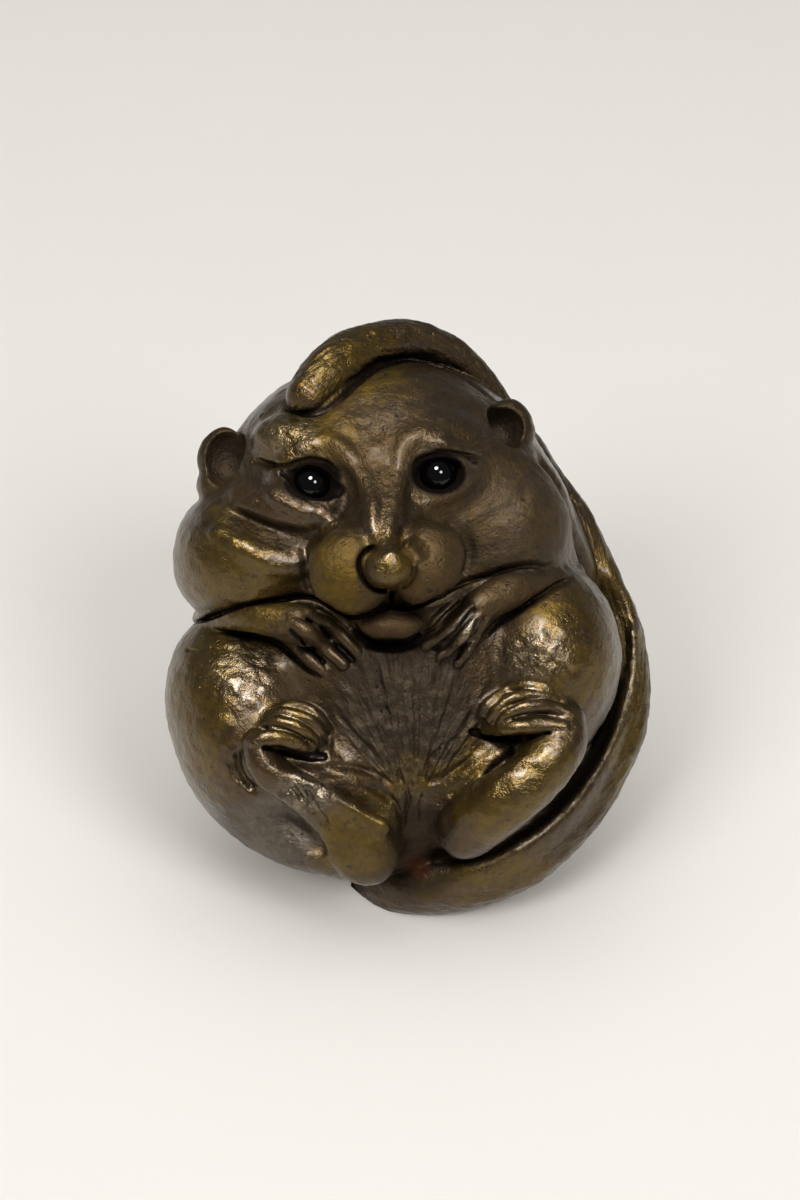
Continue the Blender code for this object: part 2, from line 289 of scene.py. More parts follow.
tail = limb([(-3.5, 2, -27.6), (-0.2, -2, -26.9), (4, -4.5, -26.2), (8.1, -5, -25.4), (11.6, -4.5, -23.9),
             (14.8, -3.5, -21.4), (17.7, -2, -18.4), (20.2, -0.8, -14.4), (21.8, 0, -11.4),
             (22.5, 0.8, -7.1), (21.9, 1.4, -2), (20.4, 1.6, 1.8), (18.7, 1.8, 5.6), (16.7, 1.8, 9.6),
             (14.4, 1.6, 12.9), (11.9, 0.6, 16.7), (9.2, -0.8, 20.3), (7, -2.3, 23.6), (3.9, -4, 26.1),
             (-0.2, -6, 27), (-4.2, -8.2, 25.9), (-7.1, -10.4, 23.8), (-9.5, -12.2, 21)],
            (2.4, 2.8, 3, 2.8, 2.7, 2.6, 2.5, 2.3, 2.1, 1.9, 1.9, 1.9, 1.9, 1.9, 1.9, 1.8, 1.6, 1.5,
             1.65, 1.95, 2.3, 2.6, 2.2), 0.12)
tailEdge = limb([(22, -0.6, -2), (21.2, -1.4, -8), (19.4, -3.4, -13), (16.4, -5.4, -17.7),
                 (12.8, -6.9, -21.1), (9, -7.6, -23.5), (5, -7.4, -25), (2, -6, -26)],
                (0.8, 1.0, 1.2, 1.4, 1.5, 1.5, 1.4, 1.2), 1.8)
# each digit is its line of (x, z), its radius at both ends and how proud it stands
fingers = [
    ([(-7.6, 0.5), (-6, -0.6), (-4.6, -1.7)], 0.45, 0.4, 0.1),
    ([(-9.4, 0.3), (-7.7, -0.7), (-6.2, -1.9), (-4.8, -3.4)], 0.62, 0.56, 0.5),
    ([(-11, -0.3), (-9.4, -1.5), (-7.9, -2.9), (-6.1, -4.6)], 0.74, 0.64, 0.55),
    ([(-12.2, -1.4), (-10.6, -2.8), (-9.4, -4), (-8.2, -5.2)], 0.66, 0.6, 0.5),
    ([(5.2, 1.7), (4, 0.8), (3, -0.1), (2.2, -0.9)], 0.42, 0.4, 0.15),
    ([(6.4, 0.9), (5.4, 0.1), (4.4, -0.9), (3.2, -1.9), (1.7, -2.9)], 0.62, 0.54, 0.5),
    ([(6.9, 0.2), (6.1, -0.8), (5.2, -2), (4.2, -3.1), (3.1, -3.9)], 0.64, 0.54, 0.55),
    ([(7.5, -0.3), (6.5, -2), (5.6, -3.4), (4.8, -4.5)], 0.64, 0.54, 0.5),
]
toes = [
    ([(-12.6, -8.9), (-11, -8.5), (-9.5, -8.7), (-8.2, -9.6), (-7.4, -11), (-7.6, -12.4)], 0.5, 0.45, 0.05),
    ([(-13.4, -9.6), (-12, -9.2), (-10.5, -9.3), (-9.1, -9.9), (-8.2, -10.9), (-8.1, -12.2)],
     0.58, 0.5, 0.2),
    ([(-14, -10.4), (-12.6, -10), (-11.2, -10.1), (-9.9, -10.7), (-8.9, -11.5), (-8.7, -12.4)],
     0.65, 0.52, 0.4),
    ([(-14.3, -11.9), (-13.1, -11.4), (-11.6, -11.5), (-10.3, -12), (-9.3, -12.5)], 0.9, 0.75, 0.6),
    ([(14.4, -7.6), (12.8, -6.9), (11, -6.7), (9.4, -7.1), (8, -8), (7.2, -9.2)], 0.5, 0.45, 0.05),
    ([(14.9, -8.2), (13, -7.6), (11.3, -7.5), (9.7, -7.9), (8.5, -8.8), (7.8, -9.8)], 0.58, 0.5, 0.2),
    ([(15.2, -9.2), (13.7, -8.6), (12.2, -8.4), (10.6, -8.7), (9.4, -9.3), (8.8, -10)], 0.62, 0.52, 0.4),
    ([(14.8, -10.4), (13, -10.3), (11, -10.4), (9.2, -10.6), (7.6, -10.7)], 0.9, 0.68, 0.55),
]


def rollForms(forms):
    # limbs laid on the forms, with their middles deep mm under the skin
    return [limb(laid(forms, line, -deep), radii, blend) for line, radii, deep, blend in rolls]


def digit(forms, plan):
    # a limb laid on the forms that comes from 0.5 mm under the skin up to lift mm proud of it, by half a
    # sine wave, and starts slim
    line, start, end, lift = plan
    count = len(line)
    arch = np.sin(np.linspace(0.08, 0.8, count) * math.pi)
    radii = np.linspace(start, end, count)
    radii[0] *= 0.6
    return limb(laid(forms, line, (lift + 0.5) * arch - 0.5), radii, 0.22)


# rolls of flesh on the surface: line, radii, how deep the middle lies and how softly it joins
rolls = [
    ([(-18, 7.8), (-16.2, 6.8), (-14, 5.7), (-12, 4.9), (-10, 4.9)], (0.6, 0.8, 1.1, 1.3, 1.1), 0.5, 1.0),
    ([(-13.4, 11.8), (-12.2, 11.1), (-11, 10.4), (-9.6, 9.8), (-8.4, 9.5)],
     (0.5, 0.75, 0.8, 0.7, 0.4), 0.2, 0.6),
    ([(-10.4, 15.6), (-8.9, 16), (-7.3, 16.2), (-5.8, 15.2), (-4.6, 13.5), (-3.8, 11.8), (-3.3, 10),
      (-3.2, 8.4), (-2.9, 6.8)], (0.6, 0.8, 0.9, 0.9, 0.8, 0.75, 0.7, 0.65, 0.5), 0.25, 1.0),
    ([(3, 16.4), (1.2, 16.9), (-0.4, 15.6), (-0.9, 12.8), (-1.3, 9.6), (-1.7, 7.8), (-1.9, 6.6), (-1.4, 5.5)],
     (0.9, 1.0, 1.0, 0.8, 0.7, 0.6, 0.6, 0.5), 0.35, 0.9),
]


creases = [
    # left eye: lid crease, lid, pouch and the fold under it
    groove([(-14.8, 15.1), (-13.2, 14.5), (-11.6, 14.2), (-10.4, 14.4), (-9, 14.7), (-7.6, 14.4),
            (-6.6, 13.5)], (0.35, 0.7), 0.8, ends=(0.1, 0.5)),
    groove([(-6.8, 14), (-6, 12.6), (-5.8, 11), (-6.2, 9.7), (-7.4, 8.8)], (1.3, 1.5), 0.75, ends=(0.3, 0.2)),
    groove([(-17.4, 10.2), (-15.6, 9.3), (-13.6, 8.5), (-11.4, 7.9), (-9.2, 7.8), (-7.6, 8.3)],
           (1.0, 2.2), 0.75, ends=(0, 0.4)),
    groove([(-8.6, 8), (-9.6, 6.4), (-9.6, 4.8), (-9.4, 3.2), (-8.8, 1.9)], (1.0, 0.8), 0.35,
           ends=(0.2, 0.2)),
    # the bridge is hollowed between its edges
    groove([(-2.5, 12), (-2.5, 9.6), (-2.4, 7.4)], 0.9, 0.08, ends=(0, 0.3)),
    # right eye
    groove([(0.3, 13.2), (0.9, 14.6), (2.4, 15.2), (4, 15.4), (5.4, 15.2), (7.2, 15)], (0.35, 0.6), 0.6,
           ends=(0.1, 0.1)),
    groove([(1.4, 11), (2.6, 10.8), (4, 11), (5.5, 12), (6.2, 12.9)], 0.8, -0.25),
    groove([(1.2, 9.7), (3.2, 9.2), (5.2, 9.9), (6.6, 11)], (1.2, 1.4), 0.3, ends=(0, 0.1)),
    groove([(3.2, 8.8), (4.7, 8), (5.6, 6.4), (5.4, 4.8), (4.6, 3.4)], (1.3, 0.5), 0.5, ends=(0.1, 0.3)),
    groove([(11.2, 13.6), (11.3, 12.2), (10.4, 10.9), (8.8, 9.6), (6.9, 8.7)], 0.9, 0.12),
    groove([(12.9, 12), (13, 9.9), (12, 7.8), (10, 6.6), (7.4, 6.2)], (1.0, 1.2), 0.1),
    groove([(-3.6, 21), (-3.4, 18.6), (-2.9, 16.2)], 2.6, 0.3, ends=(0, 0.3)),
    # nose and mouth
    groove([(-3.2, 6.3), (-4.0, 5.9), (-4.45, 5.1), (-4.35, 4.1), (-3.9, 3.2), (-3.1, 2.5), (-2.1, 2.35)],
           0.36, 1.3, ends=(0.3, 0.5)),
    groove([(-0.5, 6.8), (0.3, 6.3), (0.9, 5.6), (1.2, 4.8)], (1.5, 1.1), 0.7, ends=(0.1, 0)),
    groove([(0.5, 5.2), (0.6, 4.1), (0.1, 3.1), (-0.7, 2.7)], (0.4, 0.3), 0.2),
    groove([(-1.5, 2.4), (-1.45, 1)], 0.3, 1.1, ends=(0, 1)),
    groove([(-1.6, 0.9), (-0.6, 0.7), (0.5, 0.75), (2, 1.4), (3.4, 2.2)], (0.3, 0.35), 0.7, ends=(1, 0)),
    groove([(-1.6, 0.85), (-2.8, 0.3), (-4, 0), (-5.2, -0.2), (-6.4, 0.3), (-7.6, 1)], (0.3, 0.5), 0.8,
           ends=(1, 0.6)),
    groove([(-5.3, -0.4), (-4.4, -1.6), (-3.2, -2.3), (-1.6, -2.6), (-0.2, -2.4), (1, -1.8), (1.7, -0.9)],
           (0.4, 1.0), 0.75, ends=(0.2, 0.2)),
    # jaw and arm lines
    groove([(-21.6, -0.9), (-20, -0.6), (-18, 0.1), (-16, 0.8), (-14, 1.15), (-12, 1.45), (-10, 1.75),
            (-8.4, 1.4), (-7, 0.6)], (0.5, 0.25), 0.8, ends=(0, 0.6)),
    groove([(-19, -1.3), (-17, -1.6), (-15, -1.85), (-13.4, -2.2), (-12, -2.8), (-10.8, -3.9), (-9.6, -5),
            (-8.6, -5.6)], (0.25, 0.5), 0.7, ends=(0, 0.4)),
    groove([(-21.2, -3.4), (-20.2, -3.4)], 0.3, 0.25),
    groove([(13.4, 4.4), (11.9, 4.7), (10, 4.45), (8, 3.8), (6, 3.2), (4.2, 2.5), (3, 1.7)], (0.25, 0.7), 0.6,
           ends=(0, 0.5)),
    groove([(16.2, 3.8), (14.6, 3.2), (13, 2.2), (11.4, 1.2), (9.8, 0.25), (8.4, -0.6), (7.4, -1.7)],
           (0.6, 0.25), 0.7, ends=(0, 0.5)),
    # left foot: crest, inner face, recess behind the sole, chips
    groove([(-13, -13.2), (-11.4, -14.1), (-9.6, -14.7), (-7.6, -15.7), (-5.6, -17), (-3.4, -18.3),
            (-1.4, -19.4)], (1.8, 0.8), 0.2, ends=(0.3, 0.5)),
    groove([(-14.3, -16.2), (-12.3, -17.5), (-10.6, -18.9), (-9.1, -20.4), (-8.1, -21.9), (-7.8, -23)],
           (0.5, 3.0), 0.7, ends=(0.2, 0)),
    groove([(-15.9, -12.6), (-15.9, -14), (-15.3, -15.4), (-14.4, -16.3)], (0.4, 0.9), 0.7),
    groove([(-10.8, -15.9), (-10.2, -16.7), (-9.9, -17.3)], 0.35, 0.4),
    groove([(-9.6, -16.2), (-9.1, -17), (-9.3, -17.8)], 0.3, 0.3),
    groove([(-9, -17.4), (-8.1, -18.6), (-7.5, -19.7)], (0.3, 0.9), 0.35),
    groove([(-8.8, -17.2), (-7.8, -17.3), (-7.1, -17.6)], (0.6, 0.3), -0.25),
    groove([(-6.6, -19.6), (-5.9, -21), (-5.2, -22.2)], 0.22, 0.18),
    groove([(-16.9, -13.6), (-16.6, -14.8), (-16, -15.8)], 0.3, 0.3),
    # right foot: inner face
    groove([(10.4, -12.7), (9.2, -13.7), (7.8, -15), (6.6, -16.4), (5, -18)], (0.9, 0.8), 0.35),
    # folds of the belly that run down between the feet
    groove([(-8.2, -14.2), (-6.4, -14.3), (-4.6, -14.6), (-2.8, -15.2), (-1.4, -16)], 0.6, 0.3,
           ends=(0, 0.2)),
    groove([(-4.6, -15.9), (-3.2, -16.5), (-2.1, -17.2), (-1.3, -18.2)], 0.6, 0.3, ends=(0, 0.2)),
    groove([(1.5, -15.9), (3, -15.6), (4.5, -14.7), (6, -13.7)], 0.6, 0.3, ends=(0, 0.2)),
    groove([(3.7, -17.3), (4.8, -16.6), (6.1, -15.4), (7.5, -14)], 0.6, 0.3, ends=(0, 0.2)),
    groove([(-0.6, -16), (-0.7, -14.8), (-1, -13.4)], 0.35, 0.3),
    groove([(1.3, -15.8), (1.6, -14.8), (2.4, -13.4), (3.4, -12.2)], 0.35, 0.3),
    groove([(-0.2, -16.2), (0.1, -17.6), (-0.3, -19.2), (-0.5, -21)], 0.35, 0.2, ends=(0.2, 0.2)),
    groove([(1.7, -16.6), (1.2, -18.2), (1.5, -20)], 0.3, 0.15, ends=(0.2, 0.2)),
    groove([(-1.8, -16.8), (-0.9, -18.3), (-0.6, -19.6)], 0.4, 0.2, ends=(0.2, 0.2)),
    # hair parted in strokes up the belly
    groove([(-0.4, -14), (-1, -10.6), (-1.7, -7)], 0.3, 0.2, ends=(0.2, 0)),
    groove([(0.8, -13.4), (0.9, -10), (0.5, -6.2)], 0.25, 0.16, ends=(0.2, 0)),
    groove([(1.9, -13.6), (3.2, -10.4), (4.3, -7)], 0.3, 0.2, ends=(0.2, 0)),
    groove([(-1.5, -13.8), (-3.2, -10.5), (-4.6, -7.4)], 0.3, 0.22, ends=(0.2, 0)),
    groove([(-2.4, -14), (-5, -11.2), (-7, -9)], 0.35, 0.25, ends=(0.2, 0)),
    groove([(3.4, -13), (5.2, -11), (6.4, -8.6)], 0.35, 0.2, ends=(0.2, 0)),
    groove([(-0.9, -12.2), (-2.3, -8.6), (-2.9, -5.4)], 0.25, 0.16, ends=(0, 0)),
]
# black gaps cut in under the surface: line, radius and how far below the surface the middle lies
gaps = [
    ([(-4.3, -1.7), (-3.1, -2.3), (-1.5, -2.5), (0, -2.3), (1.1, -1.7)], (0.15, 0.25, 0.3, 0.25, 0.15), 0.15),
    ([(-9.4, -0.4), (-7.6, -1.9), (-6.2, -3.2), (-5.2, -4.2)], 0.2, 0.1),
    ([(-10.9, -1.4), (-10, -2.3), (-9, -3.2), (-8, -4.4)], 0.2, 0.1),
    ([(-8.4, 0.6), (-7, -0.2), (-6, -0.9), (-4.6, -1.3)], 0.14, 0.05),
    ([(4.9, 1.2), (3.6, 0.1), (2.6, -1), (1.7, -1.6)], 0.18, 0.1),
    ([(6.2, 0.6), (4.9, -1), (3.8, -2.1), (2.7, -3)], 0.2, 0.1),
    ([(6.6, -0.5), (5.3, -2.7), (4.6, -4)], 0.2, 0.1),
    ([(-13.4, -12.3), (-11.6, -12.7), (-10, -13.1), (-8, -13.4)], (0.25, 0.45, 0.45, 0.3), 0.3),
    ([(6, -10.9), (7.2, -11.3), (8.6, -11.6), (10.2, -11.7), (11.8, -11.4), (13.4, -11.1)],
     (0.3, 0.36, 0.4, 0.4, 0.34, 0.2), 0.3),
    ([(-13.2, -10.6), (-11.8, -10.7), (-10.4, -11.2), (-9.2, -11.9)], 0.12, 0.05),
    ([(9.3, -9.8), (10, -9.45), (11.4, -9.25), (13.2, -9.3)], 0.12, 0.02),
    ([(13.2, 14.6), (14.6, 12.6), (15.6, 10.8), (16.4, 8.8), (16.9, 6.6), (17.4, 5), (18.4, 3.8), (19.6, 2.3),
      (20.5, 0.7), (21.1, -1.5), (21.2, -4), (20.9, -6.5), (20.2, -9), (19.3, -11.4), (18.3, -13.4),
      (16.8, -15.6), (14.8, -17.8), (12.4, -19.8), (10, -21.4), (7.6, -22.7), (5.2, -23.4), (3.4, -23.5)],
     (0.3, 0.4, 0.5, 0.6, 0.7, 0.75, 0.8, 0.8, 0.8, 0.8, 0.75, 0.75, 0.7, 0.65, 0.6, 0.55, 0.5, 0.45, 0.4,
      0.35, 0.3, 0.3), 0.45),
    ([(-11.3, 19.6), (-9.4, 19.1), (-7.6, 19.6), (-6, 21), (-4.2, 22.9), (-2.4, 24.2), (0.2, 24.8),
      (2.6, 24.5), (4.8, 23.6), (6.4, 22.5), (7.9, 21.1)],
     (0.2, 0.25, 0.3, 0.4, 0.5, 0.55, 0.55, 0.5, 0.45, 0.4, 0.3), 0.35),
]


def gapForms(forms):
    # limbs cut away; a long one is evened out in depth, (before + 2 here + after) / 4 twice, and has
    # softer edges
    made = []
    for line, radius, deep in gaps:
        long = len(line) > 12
        stations = laid(forms, line, -deep)
        for _ in range(2 * long):
            stations[1:-1, 1] = (stations[:-2, 1] + 2 * stations[1:-1, 1] + stations[2:, 1]) / 4
        blend = float(np.max(radius)) * (2 if long else 1)
        made.append(limb(stations, np.broadcast_to(radius, len(line)), blend, cut=True))
    return made


def eyeForms():
    # an almond hollow with a corner cut each side of it in front of each bead, and the bead's own seat
    made = [
        lobe((-8.95, -17.7, 12.6), (2.7, 2.6, 1.65), 0.35, (0, 22, 0), cut=True),
        lobe((2.95, -18.2, 13.4), (2.5, 2.6, 1.8), 0.35, (0, -10, 0), cut=True),
        limb([(-11.6, -16.4, 13.6), (-6.5, -17, 11.8)], (0.5, 0.6), 0.3, cut=True),
        limb([(1.2, -17, 12.9), (6.2, -15.9, 14.7)], (0.4, 0.4), 0.4, cut=True),
    ]
    for eye in eyes.values():
        made.append(lobe(eye["centre"], (eye["radius"] + eye["seat"],) * 3, 0, cut=True))
    return made


def figureForms():
    # all the forms in order, and on their own the wide gaps and hollows cut last
    forms = masses + face + cups + arms + feet
    base = list(forms)
    forms += [digit(base, plan) for plan in fingers + toes] + rollForms(base)
    forms += [tail, tailEdge]
    forms += creases
    cut = gapForms(forms)
    hollows = eyeForms()
    return forms + cut + hollows, [form for form in cut if form["start"][:, 3].max() > 0.2] + hollows


# the skin

def keysOf(cells):
    # one whole number for each cell
    return (cells[:, 0] * 4096 + cells[:, 1]) * 4096 + cells[:, 2]


def cellsOf(keys):
    # the cells back from their numbers
    return np.stack([keys // 4096**2, keys // 4096 % 4096, keys % 4096], 1)


corner = np.array([(i >> 2 & 1, i >> 1 & 1, i & 1) for i in range(8)])  # of a cell


def mixedCells(forms, low, size, pending):
    # cells the surface passes through, with their corners' values, spreading across every face that
    # it crosses until none is left out
    known = np.empty(0, np.int64)
    cells, values = [], []
    while len(pending):
        known = np.union1d(known, keysOf(pending))
        keys, which = np.unique(keysOf((pending[:, None] + corner).reshape(-1, 3)), return_inverse=True)
        found = fieldAt(low + cellsOf(keys) * size, forms)[which].reshape(-1, 8)
        mixed = (found.min(1) < 0) & (found.max(1) >= 0)
        pending, found = pending[mixed], found[mixed]
        cells.append(pending)
        values.append(found)
        beyond = []
        for axis in range(3):
            for side in (0, 1):
                below = found[:, corner[:, axis] == side] < 0
                crossed = below.any(1) & ~below.all(1)
                beyond.append(pending[crossed] + np.eye(3, dtype=int)[axis] * (2 * side - 1))
        pending = cellsOf(np.setdiff1d(keysOf(np.concatenate(beyond)), known))
    return np.concatenate(cells), np.concatenate(values)


def surfaceNet(forms, low, high, size, halvings):
    # cells near the surface are halved until they are small; each mixed one gets a point at the mean of
    # its crossings, and each crossed edge a quad
    size = size * 2**halvings
    low = np.array(low, float)
    counts = np.ceil((np.array(high) - low) / size).astype(int)
    cells = np.indices(counts).reshape(3, -1).T
    for _ in range(halvings):
        near = np.abs(fieldAt(low + (cells + 0.5) * size, forms)) < size + 0.25
        cells = (cells[near][:, None] * 2 + corner).reshape(-1, 3)
        size /= 2
    cells, values = mixedCells(forms, low, size, cells)
    order = np.argsort(keysOf(cells))
    cells, values = cells[order], values[order]
    total = np.zeros((len(cells), 3))
    count = np.zeros(len(cells))
    for a in range(8):
        for b in range(a + 1, 8):
            if np.abs(corner[a] - corner[b]).sum() != 1:
                continue
            crossed = (values[:, a] < 0) != (values[:, b] < 0)
            gap = values[:, a] - values[:, b]
            t = np.where(crossed, values[:, a] / np.where(gap == 0, 1, gap), 0)
            total += crossed[:, None] * (corner[a] + t[:, None] * (corner[b] - corner[a]))
            count += crossed
    points = low + (cells + total / count[:, None]) * size
    keys = keysOf(cells)
    quads = []
    for axis in range(3):
        u, v = np.eye(3, dtype=int)[(axis + 1) % 3], np.eye(3, dtype=int)[(axis + 2) % 3]
        starts = values[:, 0] < 0
        crossed = starts != (values[:, 4 >> axis] < 0)
        ring = [np.searchsorted(keys, keysOf(cells[crossed] - o)) for o in (0 * u, u, u + v, v)]
        quad = np.stack(ring, 1)
        quads.append(np.where(starts[crossed][:, None], quad, quad[:, ::-1]))
    return points, np.concatenate(quads)


def ontoField(points, forms, rounds=2):
    # Newton steps: less gradient times field over its square; gives the normals too
    for _ in range(rounds):
        slope, value = gradientAt(points, forms)
        square = np.maximum((slope**2).sum(1), 0.1)
        points = points - slope * np.clip(value / square, -0.15, 0.15)[:, None]
    return points, slope / np.sqrt(square)[:, None]


noiseTable = np.random.default_rng(41).random(65536).astype(single)


def noiseAt(points, wavelength, seed=0):
    # value noise from -1 to 1 on a lattice of that wavelength, smoothstep between its points, each of
    # which large odd numbers turn into a place in the table
    p = points / np.array(wavelength, single)
    base = np.floor(p).astype(np.int64)
    t = (p - base).astype(single)
    t = t * t * (3 - 2 * t)
    total = np.zeros(len(points), single)
    for i in (0, 1):
        for j in (0, 1):
            for k in (0, 1):
                x, y, z = base[:, 0] + i, base[:, 1] + j, base[:, 2] + k
                hashed = (x * 73856093 ^ y * 19349663 ^ z * 83492791 ^ seed * 2654435) & 65535
                share = (t[:, 0] if i else 1 - t[:, 0]) * (t[:, 1] if j else 1 - t[:, 1])
                total += share * (t[:, 2] if k else 1 - t[:, 2]) * noiseTable[hashed]
    return total * 2 - 1


def within(points, centre, radii):
    # smoothstep from 0 at a soft ellipsoid's edge to 1 at about half of its radii
    d = np.sqrt((((points - np.array(centre)) / np.array(radii)) ** 2).sum(1))
    s = np.clip((1 - d) / 0.45, 0, 1)
    return s * s * (3 - 2 * s)


def alongTail(points):
    # distance along the tail, turn about it and distance from its skin, for each point
    start = tail["start"]
    end = start + tail["along"]
    lengths = np.linalg.norm(tail["along"][:, :3], axis=1)
    before = np.concatenate([[0], np.cumsum(lengths)[:-1]])
    best = np.full(len(points), 1e3)
    along = np.zeros(len(points))
    turned = np.zeros(len(points))
    depth = np.array([0, 1.0, 0])
    for a, b, length, run in zip(start, end, lengths, before):
        way = (b - a)[:3] / length
        away = points - a[:3]
        t = np.clip(away @ way, 0, length)
        away = away - t[:, None] * way
        distance = np.linalg.norm(away, axis=1) - (a[3] + t / length * (b[3] - a[3]))
        nearer = distance < best
        best = np.where(nearer, distance, best)
        along = np.where(nearer, run + t, along)
        turned = np.where(nearer, np.arctan2(away @ np.cross(way, depth), -away @ depth), turned)
    return along, turned, best


relief = {
    "lumps": 0.13,
    "ripples": 0.05,
    "fan": 0.16,
    "belly": 0.1,
    "tail": 0.06,
    "fur": 0.03,
    "pitted": 0.16,
    "bellyMiddle": (0.2, -16, -9.6),
    "bellyFan": (0.8, -18.5),
    "headFan": (-2, 6),
}


def furAt(points):
    # where the hair runs: (across, along, 0) of its strokes, how strong they are and whose they are, from
    # the tail's own lines, a fan up the belly, or a fan out from the nose; a fan's are angle and distance
    along, turned, distance = alongTail(points)
    tailSide = np.clip(1 - distance / 0.5, 0, 1)
    x, z = points[:, 0], points[:, 2]
    bellyFan, headFan = relief["bellyFan"], relief["headFan"]
    across, up = x - bellyFan[0], z - bellyFan[1]
    side, rise = x - headFan[0], z - headFan[1]
    belly = within(points, relief["bellyMiddle"], (9, 8, 9))
    head = 0.35 * within(points, (-1, -14, 11), (19, 14, 13)) * (1 - within(points, (-2, -20, 5), (8, 9, 7)))
    strength = np.stack([tailSide, belly, head])
    places = np.stack([
        np.stack([turned * 3.4 + along * 0.35, along * 0.3], 1),
        np.stack([np.arctan2(across, up) * 15, np.hypot(across, up) * 0.3], 1),
        np.stack([np.arctan2(side, rise) * 14, np.hypot(side, rise) * 0.35], 1),
    ])
    most = strength.argmax(0)
    ordered = np.sort(strength, 0)
    comb = places[most, np.arange(len(points))]
    clear = np.clip((ordered[2] - ordered[1]) * 1.5, 0, 1)
    return np.column_stack([comb, np.zeros(len(points))]), clear, most


def reliefAt(points):
    # hand-worked lumps everywhere, strokes fanning up the belly and combed along the tail, in mm
    p = points.astype(single)
    height = relief["lumps"] * (noiseAt(p, 3.1, 1) * 0.6 + noiseAt(p, 1.5, 2) * 0.4)
    height += relief["ripples"] * noiseAt(p, 0.75, 3)
    comb, strength, most = furAt(points)
    strokes = 1 - 2 * np.abs(noiseAt(comb, 1.0, 4)) + 0.5 * noiseAt(comb * (2.3, 1.6, 1), 1.0, 5)
    depth = np.array([relief["tail"], relief["fan"], relief["fur"]])[most]
    height += depth * strength * (strokes - 0.5)
    height += relief["belly"] * within(p, relief["bellyMiddle"], (8.2, 7, 8.0)) * noiseAt(p, 1.0, 6)
    height += relief["pitted"] * patchAmount(p, "pitted") * noiseAt(p, 0.9, 9)
    flow = p @ turnMatrix((0, 25, 0)).astype(single)
    height += relief["fur"] * noiseAt(flow, (2.2, 1.0, 0.5), 8)
    return height


def leaned(points):
    # the leaned and settled frame, in metres; the shift puts each bead where its node is
    turn = turnMatrix((-figure["lean"], 0, 0))
    low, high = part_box("left_eye")
    middle = (np.array(low) + np.array(high)) / 2
    shift = middle - turn @ np.array(eyes["left_eye"]["centre"]) * 0.001
    return points @ turn.T * 0.001 + shift


def meshObject(name, points, faces, material):
    # points in metres and a list of faces, smooth
    mesh = bpy.data.meshes.new(name)
    mesh.from_pydata(points.tolist(), [], faces)
    mesh.polygons.foreach_set("use_smooth", np.ones(len(mesh.polygons), bool))
    mesh.materials.append(material)
    mesh.update()
    made = bpy.data.objects.new(name, mesh)
    scene.collection.objects.link(made)
    return made


def applied(made, kind, **settings):
    # the object, with one modifier's result as its mesh
    modifier = made.modifiers.new(kind.lower(), kind)
    for name, value in settings.items():
        setattr(modifier, name, value)
    graph = bpy.context.evaluated_depsgraph_get()
    finished = bpy.data.meshes.new_from_object(made.evaluated_get(graph))
    made.modifiers.clear()
    made.data = finished
    return made


def vertices(made):
    # the object's points as an array
    flat = np.empty(len(made.data.vertices) * 3, single)
    made.data.vertices.foreach_get("co", flat)
    return flat.reshape(-1, 3)


def store(made, name, values):
    # keeps one number for each point under that name
    made.data.attributes.new(name, "FLOAT", "POINT").data.foreach_set("value", values.astype(single))


